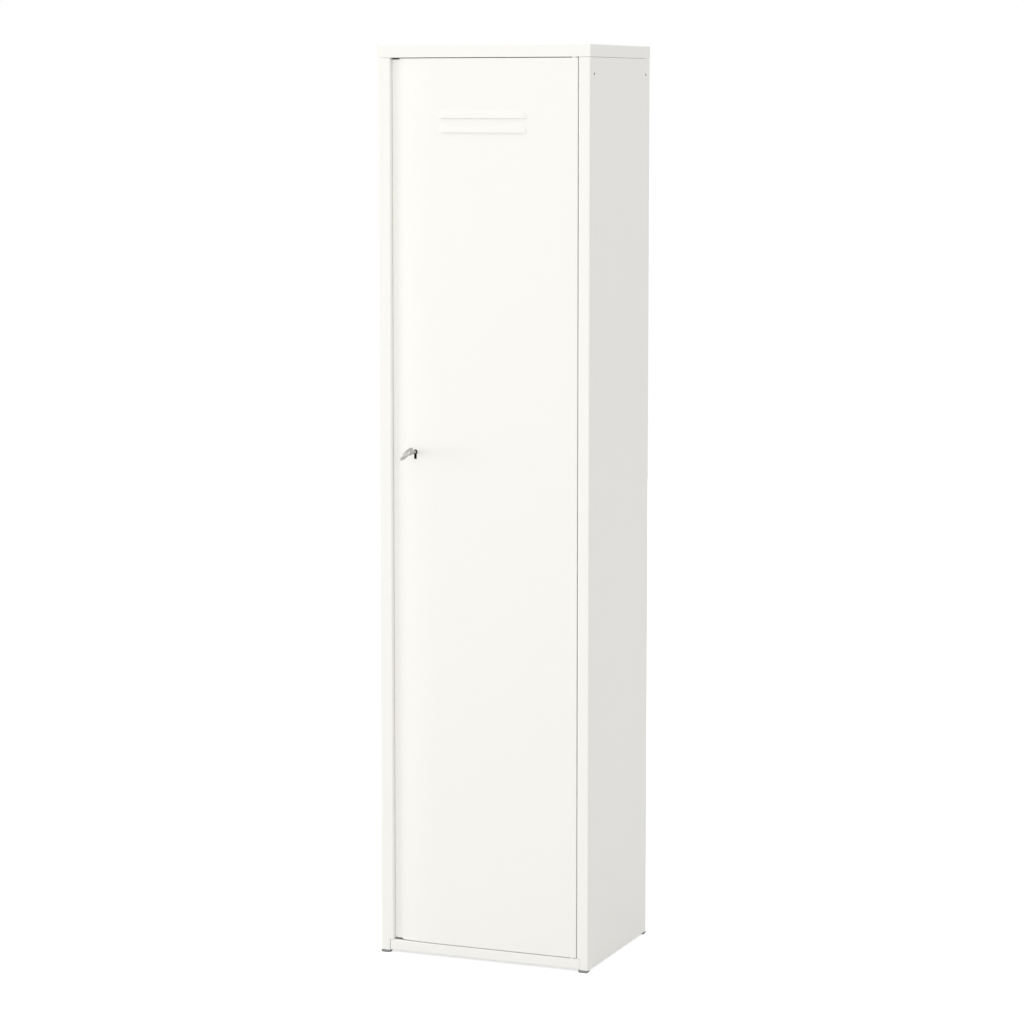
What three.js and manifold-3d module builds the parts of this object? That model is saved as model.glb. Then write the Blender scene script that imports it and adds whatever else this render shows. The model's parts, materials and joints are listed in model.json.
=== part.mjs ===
// Tall narrow sheet-steel locker with one door: pivot hinges on the right, a key lock on the left.
// Millimetres, +Z up. X runs to the right, Y runs from the door towards the back, Z = 0 is the floor.

import * as THREE from 'three';
import { mergeVertices } from 'three/addons/utils/BufferGeometryUtils.js';
import Module from 'manifold-3d';

const wasm = await Module();
wasm.setup();

// Overall size and sheet metal
const WIDTH = 400;
const DEPTH = 302;
const HEIGHT = 1628;
const SHEET = 1;
const BEND = 1.6; // centre-line radius of a folded edge
const SEAT = 0.3; // clearance between pieces that seat on each other
const RUNNING = 0.1; // radial clearance of a turning pin

// Feet and side panels
const FOOT_HEIGHT = 5;
const FOOT_WIDTH = 18;
const FOOT_DEPTH = 9;
const FOOT_PLUG = 10; // height of the plug inside the folded post
const LOCK_STILE = 24.5;
const HINGE_STILE = 21.3;
const RETURN_DEPTH = 30;
const STOP_WIDTH = 12;
const REAR_FLANGE = 20;
const TOP_FLANGE = 16;
const SIDE_HOLE_RADIUS = 2.5;
const SIDE_HOLE_INSET = 21; // from the front and the back edge
const SIDE_HOLE_DROP = 51; // below the top of the cap

// Cap, base and back
const CAP_RIM = 22;
const CAP_SEAM = 0.5;
const CAP_RADIUS = 2;
const CAP_RETURN = 15;
const SOFFIT_DEPTH = 26;
const RAIL_HEIGHT = 19.5;
const RAIL_NOTCH = 6; // how far each end of the rail runs into its stile
const RAIL_END_GAP = 0.9; // open seam at the rail's lock end
const RAIL_LIP = 12;
const BEAD_WIDTH = 30;
const BEAD_DEPTH = 4;
const BEAD_SPACING = 150;

// Door
const DOOR_DEPTH = 24;
const GAP_TOP = 1.4;
const GAP_BOTTOM = 1.4;
const GAP_HINGE = 1.4;
const GAP_LOCK = 0.6;
const GRIP_DEPTH = 9; // how far the lock edge is set back from the face
const GRIP_WIDTH = 55; // width over which the face eases back to the lock edge
const GRIP_BEND_SHARE = 0.5; // part of that width that its bend takes up
const RELIEF_HEIGHT = 2; // corners of the lock edge, cut away at both ends
const RELIEF_WIDTH = 16;
const LOUVRE_LENGTH = 165;
const LOUVRE_HEIGHT = 13;
const LOUVRE_RISE = 2;
const LOUVRE_PITCH = 25;
const LOUVRE_COUNT = 2;
const LOUVRE_DROP = 104; // from the door's top to the lower edge of the first louvre
const DOOR_LIP = 2; // short returns along the skin's upright edges
const DOOR_FRAME = 14; // width of the angles and folds behind the skin
const PIN_CLEAR = 8; // the upright angles stop this far from the door's ends
const STIFFENER_CROWN = 44;
const STIFFENER_FLANGE = 14;
const STIFFENER_DEPTH = 16;
const STIFFENER_MARGIN = 34; // clear of the lowest louvre, and of the door's foot

// Pivot hinges
const PIVOT_INSET = 7.6; // from the door's hinge edge
const PIVOT_SETBACK = 5; // behind the door's face
const PIN_RADIUS = 2.5;
const PIN_HEAD_RADIUS = 3.6;
const PIN_HEAD = 2.5;
const PIN_REACH = 12; // past the door's flange
const BUSH_WALL = 1.2;
const BUSH_FLANGE_RADIUS = 4.8;
const BUSH_FLANGE = 0.8;
const BUSH_SLEEVE = 5;

// Lock and key
const KEY_HEIGHT = 912.5;
const KEY_BACKSET = 45.3; // from the inner edge of the lock stile
const KEYHOLE_RADIUS = 4.4;
const KEYHOLE_SLOT = 5.4;
const KEYHOLE_DROP = 12.5; // from the key's axis to the foot of the slot
const KEY_REST_ANGLE = 42; // lean to the right of upright, bolt drawn back
const KEY_SHANK = 3;
const KEY_COLLAR = 4.3;
const KEY_COLLAR_LENGTH = 3;
const KEY_REACH = 51; // from the front plane to the end of the bow
const BOW_WIDTH = 31;
const BOW_LENGTH = 22;
const BOW_RIM = 5;
const BOW_THICKNESS = 2.6;
const BIT_RADIUS = 9;
const BIT_THICKNESS = 2.4;
const BIT_LENGTH = 7;
const BIT_GRIP_RADIUS = 8; // where the bit pushes the bolt
const CASE_DEPTH = 17.5;
const CASE_WALL = 1.2;
const CASE_LEFT = 17; // case edges, measured from the key's axis
const CASE_RIGHT = 25;
const CASE_ABOVE = 28;
const CASE_BELOW = 22;
const EAR_WIDTH = 16;
const EAR_LENGTH = 13;
const STUD_OFFSET = 12; // studs stand to the right of the key's axis
const STUD_RADIUS = 2;
const STUD_SHOULDER = 4;
const STUD_LENGTH = 9;
const NUT_RADIUS = 4;
const NUT_LENGTH = 3.2;
const BOLT_THICKNESS = 6;
const BOLT_HEIGHT = 16.5;
const BOLT_RAISE = 4.5; // underside of the bolt above the key's axis
const BOLT_SETBACK = 13.5;
const BOLT_TAIL = 20; // past the key's axis
const TALON_DEPTH = 5.4;
const TALON_WIDTH = 6.8;
const STUMP_RADIUS = 2.5;
const STUMP_RAISE = 15; // above the key's axis
const BOLT_CLEARANCE = 0.5;
const STRIKE_LENGTH = 70;
const STRIKE_WIDTH = 20;
const STRIKE_SETBACK = 7;
const STRIKE_THICKNESS = 1.5;

// Shelves, slotted uprights, clips and door buffers
const SHELF_LIP = 21;
const SHELF_FRONT = 34;
const SHELF_REAR_GAP = 8;
const SHELF_SIDE_GAP = 1;
const SHELF_HEM = 9;
const UPRIGHT_CROWN = 24;
const UPRIGHT_RISE = 8;
const UPRIGHT_FLANGE = 8;
const UPRIGHT_INSET = 62; // middle of each upright from the front and the back
const UPRIGHT_FOOT = 90; // lower end above the floor
const UPRIGHT_HEAD = 90; // upper end below the cap
const SLOT_FIRST = 134;
const SLOT_PITCH = 57;
const SLOT_WIDTH = 13;
const SLOT_HEIGHT = 7;
const LOWER_SHELF_SLOT = 8;
const UPPER_SHELF_SLOT = 16;
const CLIP_WIDTH = 12;
const CLIP_LEDGE = 11;
const CLIP_THICKNESS = 2;
const CLIP_DROP = 14;
const CLIP_HOOK = 4;
const BUFFER_RADIUS = 5.4;
const BUFFER_FROM_END = 300; // from each end of the door

// Round detail
const BEND_STEPS = 3; // facets in a right-angle bend
const ROUND_SIDES = 24;
const NUT_SIDES = 6;

// Places worked out from the sizes
const half = WIDTH / 2;
const lockEdge = -half + LOCK_STILE;
const hingeEdge = half - HINGE_STILE;
const capBottom = HEIGHT - CAP_RIM;
const panelTop = capBottom - CAP_SEAM;
const floorTop = FOOT_HEIGHT + RAIL_HEIGHT;
const backFace = DEPTH - SHEET - SEAT;
const foldClear = SHEET / 2 + BEND; // a square edge this far in clears the inside of a fold
const doorLeft = lockEdge + GAP_LOCK;
const doorRight = hingeEdge - GAP_HINGE;
const doorTop = capBottom - GAP_TOP;
const doorBottom = floorTop + GAP_BOTTOM;
const pivotX = doorRight - PIVOT_INSET;
const keyX = lockEdge + KEY_BACKSET;
const keyLean = THREE.MathUtils.degToRad(KEY_REST_ANGLE);
const boltThrow = 2 * BIT_GRIP_RADIUS * Math.sin(keyLean);
const boltBottom = KEY_HEIGHT + BOLT_RAISE;
const boltTop = boltBottom + BOLT_HEIGHT;
const boltBack = BOLT_SETBACK + BOLT_THICKNESS;
const gripAngle = Math.atan2(GRIP_DEPTH - SHEET / 2, GRIP_WIDTH);
const gripBend = GRIP_BEND_SHARE * GRIP_WIDTH / Math.tan(gripAngle / 2);
const gripEnd = doorLeft + SHEET / 2 + GRIP_WIDTH * (1 + GRIP_BEND_SHARE);
const faceDepth = (x) => Math.max(gripEnd - x, 0) ** 2 / (2 * gripBend);
const caseFront = faceDepth(keyX - CASE_LEFT) + SHEET + SEAT;
const caseBack = caseFront + CASE_DEPTH;
const crownInside = half - SHEET - SEAT - UPRIGHT_RISE;
const uprightBottom = FOOT_HEIGHT + UPRIGHT_FOOT;
const uprightTop = capBottom - UPRIGHT_HEAD;
const slotCount = Math.floor((uprightTop - SLOT_FIRST) / SLOT_PITCH) + 1;
const plugInner = half - Math.min(LOCK_STILE, HINGE_STILE) + RAIL_NOTCH + RAIL_END_GAP;
const slotHeight = (index) => SLOT_FIRST + index * SLOT_PITCH;

// Finishes
const finish = (color, roughness, metalness) => ({ color, roughness, metalness });
const WHITE_PAINT = finish(0xf4f3ee, 0.45, 0);
const ZINC_STEEL = finish(0xa9adb0, 0.4, 0.9);
const NICKEL = finish(0xc3c3c0, 0.25, 1);
const NYLON = finish(0xe8e7e1, 0.5, 0);
const GREY_PLASTIC = finish(0x8d8e90, 0.6, 0);
const RUBBER = finish(0x3b3b3d, 0.85, 0);

// A closed solid from a three.js geometry, with its shared corners merged
function solid(geometry) {
  const plain = geometry.clone();
  plain.deleteAttribute('normal');
  plain.deleteAttribute('uv');
  const merged = mergeVertices(plain, 1e-4);
  const corners = merged.index.array;
  const triVerts = [];
  for (let i = 0; i < corners.length; i += 3) {
    const [a, b, c] = corners.slice(i, i + 3);
    if (a !== b && b !== c && c !== a) triVerts.push(a, b, c);
  }
  const vertProperties = new Float32Array(merged.attributes.position.array);
  const mesh = new wasm.Mesh({ numProp: 3, vertProperties, triVerts: new Uint32Array(triVerts) });
  return new wasm.Manifold(mesh);
}

function geometryOf(body) {
  const mesh = body.getMesh();
  const geometry = new THREE.BufferGeometry();
  geometry.setAttribute('position', new THREE.BufferAttribute(mesh.vertProperties, 3));
  geometry.setIndex(new THREE.BufferAttribute(mesh.triVerts, 1));
  geometry.computeVertexNormals();
  return geometry;
}

const join = (first, ...others) => others.reduce((sum, other) => sum.add(other), first);
const cut = (first, ...others) => others.reduce((rest, other) => rest.subtract(other), first);

function block(x0, x1, y0, y1, z0, z1) {
  const box = new THREE.BoxGeometry(x1 - x0, y1 - y0, z1 - z0);
  box.translate((x0 + x1) / 2, (y0 + y1) / 2, (z0 + z1) / 2);
  return solid(box);
}

// Extrusions along each axis: the outline lies in the other two axes, in X, Y, Z order
const squareEnds = { bevelEnabled: false, curveSegments: ROUND_SIDES };

function extrudeZ(shape, z0, z1) {
  const body = new THREE.ExtrudeGeometry(shape, { ...squareEnds, depth: z1 - z0 });
  body.translate(0, 0, z0);
  return solid(body);
}

function extrudeX(shape, x0, x1) {
  const body = new THREE.ExtrudeGeometry(shape, { ...squareEnds, depth: x1 - x0 });
  const turn = new THREE.Matrix4();
  turn.makeBasis(new THREE.Vector3(0, 1, 0), new THREE.Vector3(0, 0, 1), new THREE.Vector3(1, 0, 0));
  body.applyMatrix4(turn);
  body.translate(x0, 0, 0);
  return solid(body);
}

function extrudeY(shape, y0, y1) {
  const body = new THREE.ExtrudeGeometry(shape, { ...squareEnds, depth: y1 - y0 });
  body.rotateX(Math.PI / 2);
  body.translate(0, y1, 0);
  return solid(body);
}

function rod(radius, length, sides = ROUND_SIDES) {
  return new THREE.CylinderGeometry(radius, radius, length, sides);
}

function rodX(radius, x0, x1, y, z) {
  const body = rod(radius, x1 - x0);
  body.rotateZ(Math.PI / 2);
  body.translate((x0 + x1) / 2, y, z);
  return solid(body);
}

function rodY(radius, x, y0, y1, z, sides = ROUND_SIDES) {
  const body = rod(radius, y1 - y0, sides);
  body.translate(x, (y0 + y1) / 2, z);
  return solid(body);
}

function rodZ(radius, x, y, z0, z1) {
  const body = rod(radius, z1 - z0);
  body.rotateX(Math.PI / 2);
  body.translate(x, y, (z0 + z1) / 2);
  return solid(body);
}

// The two faces of a folded sheet whose centre line runs through the given points.
// A point may name its own bend radius as a third value.
function sheetSides(points, thickness = SHEET) {
  const left = [];
  const right = [];
  const place = (point, heading) => {
    const normal = new THREE.Vector2(-Math.sin(heading), Math.cos(heading)).multiplyScalar(thickness / 2);
    left.push(point.clone().add(normal));
    right.push(point.clone().sub(normal));
  };
  const at = (index) => new THREE.Vector2(points[index][0], points[index][1]);
  const headingTo = (index) => at(index + 1).sub(at(index)).angle();
  const last = points.length - 1;
  place(at(0), headingTo(0));
  for (let i = 1; i < last; i += 1) {
    const before = headingTo(i - 1);
    const turn = THREE.MathUtils.euclideanModulo(headingTo(i) - before + Math.PI, 2 * Math.PI) - Math.PI;
    const radius = points[i][2] ?? BEND;
    const tangent = radius * Math.tan(Math.abs(turn) / 2);
    const steps = Math.max(2, Math.ceil((Math.abs(turn) / (Math.PI / 2)) * BEND_STEPS));
    const start = at(i).sub(new THREE.Vector2(Math.cos(before), Math.sin(before)).multiplyScalar(tangent));
    const side = Math.sign(turn) * radius;
    const centre = start.add(new THREE.Vector2(-Math.sin(before), Math.cos(before)).multiplyScalar(side));
    for (let k = 0; k <= steps; k += 1) {
      const heading = before + (turn * k) / steps;
      const spoke = new THREE.Vector2(Math.sin(heading), -Math.cos(heading)).multiplyScalar(side);
      place(centre.clone().add(spoke), heading);
    }
  }
  place(at(last), headingTo(last - 1));
  return { left, right };
}

function foldedSheet(points) {
  const { left, right } = sheetSides(points);
  return new THREE.Shape([...left, ...right.reverse()]);
}

const model = new THREE.Group();

function addPart(name, body, look) {
  const mesh = new THREE.Mesh(geometryOf(body), new THREE.MeshStandardMaterial(look));
  mesh.name = name;
  model.add(mesh);
  return mesh;
}

// Side panel: web, stile, return and rear flange, folded from one sheet, with a door stop on the lock side.
// The left panel is drawn, and the right one is its mirror with its own stile width.
function sidePanel(mirror, stile, stop) {
  const outer = -half + SHEET / 2;
  const inner = -half + stile;
  const stopLine = RETURN_DEPTH - SHEET / 2;
  const returnEnd = stop ? [[inner + STOP_WIDTH, stopLine]] : [];
  const railGap = stop ? RAIL_END_GAP : SEAT;
  const plan = [
    ...returnEnd,
    [inner - SHEET / 2, stopLine],
    [inner - SHEET / 2, SHEET / 2],
    [outer, SHEET / 2],
    [outer, DEPTH - SHEET / 2],
    [-half + REAR_FLANGE, DEPTH - SHEET / 2],
  ];
  const mirrored = plan.map(([x, y]) => [mirror * x, y]);
  const span = (a, b) => [Math.min(mirror * a, mirror * b), Math.max(mirror * a, mirror * b)];
  const flange = block(
    ...span(outer, -half + TOP_FLANGE), RETURN_DEPTH + SHEET, DEPTH - REAR_FLANGE,
    panelTop - SHEET, panelTop,
  );
  const railNotch = block(
    ...span(inner - RAIL_NOTCH - railGap, inner + STOP_WIDTH + SHEET),
    -SHEET, RETURN_DEPTH + SHEET, 0, floorTop + CAP_SEAM,
  );
  const drill = span(-half - SHEET, -half + 2 * SHEET);
  const hole = (y) => rodX(SIDE_HOLE_RADIUS, ...drill, y, HEIGHT - SIDE_HOLE_DROP);
  const sheet = join(extrudeZ(foldedSheet(mirrored), FOOT_HEIGHT, panelTop), flange);
  return cut(sheet, railNotch, hole(SIDE_HOLE_INSET), hole(DEPTH - SIDE_HOLE_INSET));
}

function boltOpening(x0, x1) {
  return block(
    x0, x1, BOLT_SETBACK - BOLT_CLEARANCE, boltBack + BOLT_CLEARANCE,
    boltBottom - BOLT_CLEARANCE, boltTop + BOLT_CLEARANCE,
  );
}

const strikeSlot = boltOpening(lockEdge - 2 * STRIKE_THICKNESS - SHEET, lockEdge + SHEET);
addPart('side_panel_left', cut(sidePanel(1, LOCK_STILE, true), strikeSlot), WHITE_PAINT);
addPart('side_panel_right', sidePanel(-1, HINGE_STILE, false), WHITE_PAINT);

// Strike plate behind the lock stile's return, where the bolt enters
function strikePlate() {
  const face = lockEdge - SHEET - SEAT;
  const middle = boltBottom + BOLT_HEIGHT / 2;
  const plate = block(
    face - STRIKE_THICKNESS, face, STRIKE_SETBACK, STRIKE_SETBACK + STRIKE_WIDTH,
    middle - STRIKE_LENGTH / 2, middle + STRIKE_LENGTH / 2,
  );
  return cut(plate, strikeSlot);
}
addPart('strike_plate', strikePlate(), ZINC_STEEL);

// Cap: a shallow box with rounded upper edges, open below inside its returns
function topCap() {
  const outline = new THREE.Shape();
  outline.moveTo(-half, capBottom);
  outline.lineTo(-half, HEIGHT - CAP_RADIUS);
  outline.absarc(-half + CAP_RADIUS, HEIGHT - CAP_RADIUS, CAP_RADIUS, Math.PI, Math.PI / 2, true);
  outline.absarc(half - CAP_RADIUS, HEIGHT - CAP_RADIUS, CAP_RADIUS, Math.PI / 2, 0, true);
  outline.lineTo(half, capBottom);
  const across = new THREE.Shape();
  across.moveTo(0, capBottom);
  across.lineTo(0, HEIGHT - CAP_RADIUS);
  across.absarc(CAP_RADIUS, HEIGHT - CAP_RADIUS, CAP_RADIUS, Math.PI, Math.PI / 2, true);
  across.absarc(DEPTH - CAP_RADIUS, HEIGHT - CAP_RADIUS, CAP_RADIUS, Math.PI / 2, 0, true);
  across.lineTo(DEPTH, capBottom);
  const capExtrude = { ...squareEnds, curveSegments: BEND_STEPS };
  const frontView = new THREE.ExtrudeGeometry(outline, { ...capExtrude, depth: DEPTH });
  frontView.rotateX(Math.PI / 2);
  frontView.translate(0, DEPTH, 0);
  const sideView = new THREE.ExtrudeGeometry(across, { ...capExtrude, depth: WIDTH });
  const turn = new THREE.Matrix4();
  turn.makeBasis(new THREE.Vector3(0, 1, 0), new THREE.Vector3(0, 0, 1), new THREE.Vector3(1, 0, 0));
  sideView.applyMatrix4(turn);
  sideView.translate(-half, 0, 0);
  const shell = solid(frontView).intersect(solid(sideView));
  const hollow = block(
    -half + SHEET, half - SHEET, SHEET, DEPTH - SHEET, capBottom + SHEET, HEIGHT - SHEET,
  );
  const mouth = block(
    -half + CAP_RETURN, half - CAP_RETURN, SOFFIT_DEPTH, DEPTH - CAP_RETURN,
    capBottom - SHEET, capBottom + 2 * SHEET,
  );
  return cut(shell, hollow, mouth, bushHole(capBottom - SHEET, capBottom + 2 * SHEET));
}

// Hole that a hinge bush is pressed into
function bushHole(z0, z1) {
  return rodZ(PIN_RADIUS + RUNNING + BUSH_WALL + SEAT, pivotX, PIVOT_SETBACK, z0, z1);
}
addPart('top_cap', topCap(), WHITE_PAINT);

// Base tray: floor, front rail with a lip, rear fold and side folds
function baseTray() {
  const line = SHEET / 2;
  const rear = backFace;
  const section = [
    [RAIL_LIP, FOOT_HEIGHT + line],
    [line, FOOT_HEIGHT + line],
    [line, floorTop - line],
    [rear - line, floorTop - line],
    [rear - line, FOOT_HEIGHT],
  ];
  const railLeft = lockEdge - RAIL_NOTCH;
  const railRight = hingeEdge + RAIL_NOTCH;
  const middle = extrudeX(foldedSheet(section), railLeft, railRight);
  const wing = (x0, x1) => block(x0, x1, foldClear, DEPTH - foldClear, floorTop - SHEET, floorTop);
  const sideFold = (x) => block(
    x, x + SHEET, FOOT_DEPTH + FOOT_HEIGHT, rear - FOOT_DEPTH - FOOT_HEIGHT, FOOT_HEIGHT, floorTop,
  );
  const wall = half - SHEET - SEAT;
  const tray = join(
    middle, wing(-wall, railLeft + SHEET), wing(railRight - SHEET, wall),
    sideFold(-wall), sideFold(wall - SHEET),
  );
  return cut(tray, bushHole(floorTop - 2 * SHEET, floorTop + SHEET));
}
addPart('base_tray', baseTray(), WHITE_PAINT);

// Back panel: one sheet with upright stiffening beads, standing on the base in front of the rear flanges
function backPanel() {
  const line = backFace - SHEET / 2;
  const edge = half - foldClear;
  const bead = (x) => [
    [x - BEAD_WIDTH / 2, line],
    [x - BEAD_WIDTH / 4, line - BEAD_DEPTH],
    [x + BEAD_WIDTH / 4, line - BEAD_DEPTH],
    [x + BEAD_WIDTH / 2, line],
  ];
  const plan = [[-edge, line], ...bead(-BEAD_SPACING / 2), ...bead(BEAD_SPACING / 2), [edge, line]];
  return extrudeZ(foldedSheet(plan), floorTop + SEAT, capBottom - SEAT);
}
addPart('back_panel', backPanel(), WHITE_PAINT);

// Slotted uprights welded inside the side panels, two on each side
function upright(side, middle) {
  const base = half - SHEET - SEAT - SHEET / 2;
  const crown = base - UPRIGHT_RISE + SHEET;
  const reach = UPRIGHT_CROWN / 2;
  const plan = [
    [side * base, middle - reach - UPRIGHT_FLANGE],
    [side * base, middle - reach],
    [side * crown, middle - reach],
    [side * crown, middle + reach],
    [side * base, middle + reach],
    [side * base, middle + reach + UPRIGHT_FLANGE],
  ];
  const slots = [];
  for (let index = 0; index < slotCount; index += 1) {
    const z = slotHeight(index);
    const ends = [side * (crown - SHEET), side * (crown + SHEET)].sort((a, b) => a - b);
    slots.push(block(
      ...ends, middle - SLOT_WIDTH / 2, middle + SLOT_WIDTH / 2, z - SLOT_HEIGHT / 2, z + SLOT_HEIGHT / 2,
    ));
  }
  return cut(extrudeZ(foldedSheet(plan), uprightBottom, uprightTop), ...slots);
}

// Clip hooked into a slot: a ledge that carries the shelf, and a tongue that lies on the crown
function shelfClip(side, middle, slotZ) {
  const face = crownInside - SEAT;
  const ledgeTop = slotZ + SLOT_HEIGHT / 2 - SEAT;
  const outline = new THREE.Shape();
  const corners = [
    [face + CLIP_HOOK, ledgeTop - CLIP_THICKNESS],
    [face + CLIP_HOOK, ledgeTop],
    [face - CLIP_LEDGE, ledgeTop],
    [face - CLIP_LEDGE, ledgeTop - CLIP_THICKNESS],
    [face - CLIP_THICKNESS, ledgeTop - CLIP_THICKNESS],
    [face - CLIP_THICKNESS, ledgeTop - CLIP_DROP],
    [face, ledgeTop - CLIP_DROP],
    [face, ledgeTop - CLIP_THICKNESS],
  ];
  outline.setFromPoints(corners.map(([x, z]) => new THREE.Vector2(side * x, z)));
  return extrudeY(outline, middle - CLIP_WIDTH / 2, middle + CLIP_WIDTH / 2);
}

// Shelf: a tray turned down at every edge, with a hem along the front
function shelf(slotZ) {
  const bottom = slotZ + SLOT_HEIGHT / 2;
  const top = bottom + SHELF_LIP;
  const line = SHEET / 2;
  const rear = DEPTH - SHELF_REAR_GAP;
  const section = [
    [SHELF_FRONT + SHELF_HEM, bottom + line],
    [SHELF_FRONT + line, bottom + line],
    [SHELF_FRONT + line, top - line],
    [rear - line, top - line],
    [rear - line, bottom],
  ];
  const end = crownInside - SHELF_SIDE_GAP;
  const sideFold = (x) => block(x, x + SHEET, SHELF_FRONT + 2 * SHELF_HEM, rear - SHELF_HEM, bottom, top);
  return join(extrudeX(foldedSheet(section), -end, end), sideFold(-end), sideFold(end - SHEET));
}

const uprightPlaces = { front: UPRIGHT_INSET, rear: DEPTH - UPRIGHT_INSET };
const sides = { left: -1, right: 1 };
const shelves = { lower: slotHeight(LOWER_SHELF_SLOT), upper: slotHeight(UPPER_SHELF_SLOT) };
for (const [sideName, side] of Object.entries(sides)) {
  for (const [placeName, middle] of Object.entries(uprightPlaces)) {
    addPart(`upright_${placeName}_${sideName}`, upright(side, middle), WHITE_PAINT);
  }
}
for (const [shelfName, slotZ] of Object.entries(shelves)) {
  addPart(`shelf_${shelfName}`, shelf(slotZ), WHITE_PAINT);
  for (const [sideName, side] of Object.entries(sides)) {
    for (const [placeName, middle] of Object.entries(uprightPlaces)) {
      const name = `shelf_clip_${shelfName}_${placeName}_${sideName}`;
      addPart(name, shelfClip(side, middle, slotZ), ZINC_STEEL);
    }
  }
}

// Feet: plastic glides plugged into the folded corner posts
function foot(side, front) {
  const outer = half - SEAT;
  const near = front ? SEAT : DEPTH - SEAT - FOOT_DEPTH;
  const span = (a, b) => [Math.min(side * a, side * b), Math.max(side * a, side * b)];
  const pad = new THREE.Shape();
  const [x0, x1] = span(outer, outer - FOOT_WIDTH);
  const round = FOOT_HEIGHT / 2;
  pad.moveTo(x0, FOOT_HEIGHT - SEAT);
  pad.lineTo(x0, round);
  pad.absarc(x0 + round, round, round, Math.PI, 1.5 * Math.PI, false);
  pad.absarc(x1 - round, round, round, 1.5 * Math.PI, 2 * Math.PI, false);
  pad.lineTo(x1, FOOT_HEIGHT - SEAT);
  const padExtrude = { ...squareEnds, depth: FOOT_DEPTH, curveSegments: BEND_STEPS };
  const base = new THREE.ExtrudeGeometry(pad, padExtrude);
  base.rotateX(Math.PI / 2);
  base.translate(0, near + FOOT_DEPTH, 0);
  const wall = SHEET + BEND;
  const plugFront = front ? wall : near;
  const plugBack = front ? near + FOOT_DEPTH : DEPTH - wall;
  const plug = block(
    ...span(half - wall, plugInner), plugFront, plugBack, round, FOOT_HEIGHT + FOOT_PLUG,
  );
  return join(solid(base), plug);
}
for (const [sideName, side] of Object.entries(sides)) {
  addPart(`foot_front_${sideName}`, foot(side, true), GREY_PLASTIC);
  addPart(`foot_rear_${sideName}`, foot(side, false), GREY_PLASTIC);
}

// Buffers on the door stop, which the closed door rests against
function buffer(z) {
  const x = lockEdge + STOP_WIDTH / 2;
  return rodY(BUFFER_RADIUS, x, DOOR_DEPTH + SEAT, RETURN_DEPTH - SHEET - SEAT, z, ROUND_SIDES / 2);
}
addPart('door_buffer_lower', buffer(doorBottom + BUFFER_FROM_END), RUBBER);
addPart('door_buffer_upper', buffer(doorTop - BUFFER_FROM_END), RUBBER);

// Hinge bushes: a sleeve through the sheet and a washer in the gap beside the door
function bush(seat, up) {
  const bore = PIN_RADIUS + RUNNING;
  const washer = [seat + up * SEAT, seat + up * (SEAT + BUSH_FLANGE)].sort((a, b) => a - b);
  const sleeve = [seat + up * (SEAT + BUSH_FLANGE), seat - up * BUSH_SLEEVE].sort((a, b) => a - b);
  const body = join(
    rodZ(BUSH_FLANGE_RADIUS, pivotX, PIVOT_SETBACK, ...washer),
    rodZ(bore + BUSH_WALL, pivotX, PIVOT_SETBACK, ...sleeve),
  );
  return cut(body, rodZ(bore, pivotX, PIVOT_SETBACK, sleeve[0] - BUSH_SLEEVE, sleeve[1] + BUSH_SLEEVE));
}
addPart('hinge_bush_lower', bush(floorTop, 1), NYLON);
addPart('hinge_bush_upper', bush(capBottom, -1), NYLON);

// Door skin: one sheet with short returns, its lock edge drawn back into a full-height finger grip
function doorPlan() {
  const line = SHEET / 2;
  return [
    [doorLeft + line, GRIP_DEPTH + DOOR_LIP],
    [doorLeft + line, GRIP_DEPTH],
    [doorLeft + line + GRIP_WIDTH, line, gripBend],
    [doorRight - line, line],
    [doorRight - line, line + DOOR_LIP],
  ];
}

function keyhole(y0, y1, clearance) {
  const radius = KEYHOLE_RADIUS + clearance;
  const slot = KEYHOLE_SLOT / 2 + clearance;
  const foot = KEY_HEIGHT - KEYHOLE_DROP - clearance;
  return join(
    rodY(radius, keyX, y0, y1, KEY_HEIGHT), block(keyX - slot, keyX + slot, y0, y1, foot, KEY_HEIGHT),
  );
}

// Half of a flattened capsule: the space that a louvre is pressed out of
function louvreBlister(height, rise, length, lowerEdge, floor) {
  const capsule = new THREE.CapsuleGeometry(height, length - 2 * height, BEND_STEPS, ROUND_SIDES);
  capsule.rotateZ(Math.PI / 2);
  capsule.scale(1, rise / height, 1);
  capsule.translate((doorLeft + doorRight) / 2, 0, lowerEdge);
  const upper = block(doorLeft, doorRight, -2 * rise, SHEET, floor, lowerEdge + 2 * height);
  return solid(capsule).intersect(upper);
}

const louvreEdge = (index) => doorTop - LOUVRE_DROP - index * LOUVRE_PITCH;

// Corners that are cut off the lock edge, so that it can be folded
function reliefs() {
  const corner = (z) => block(
    doorLeft - SHEET, doorLeft + RELIEF_WIDTH, -SHEET, DOOR_DEPTH + SHEET,
    z - RELIEF_HEIGHT, z + RELIEF_HEIGHT,
  );
  return join(corner(doorBottom), corner(doorTop));
}

function doorSkin() {
  let skin = extrudeZ(foldedSheet(doorPlan()), doorBottom, doorTop);
  for (let index = 0; index < LOUVRE_COUNT; index += 1) {
    const edge = louvreEdge(index);
    const outside = louvreBlister(LOUVRE_HEIGHT, LOUVRE_RISE, LOUVRE_LENGTH, edge, edge);
    const inside = louvreBlister(
      LOUVRE_HEIGHT - SHEET, LOUVRE_RISE - SHEET, LOUVRE_LENGTH - 2 * SHEET, edge, edge - SHEET,
    );
    skin = cut(join(skin, outside), inside);
  }
  return cut(skin, keyhole(-SHEET, GRIP_DEPTH, 0), reliefs());
}
addPart('door_skin', doorSkin(), WHITE_PAINT);

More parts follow.
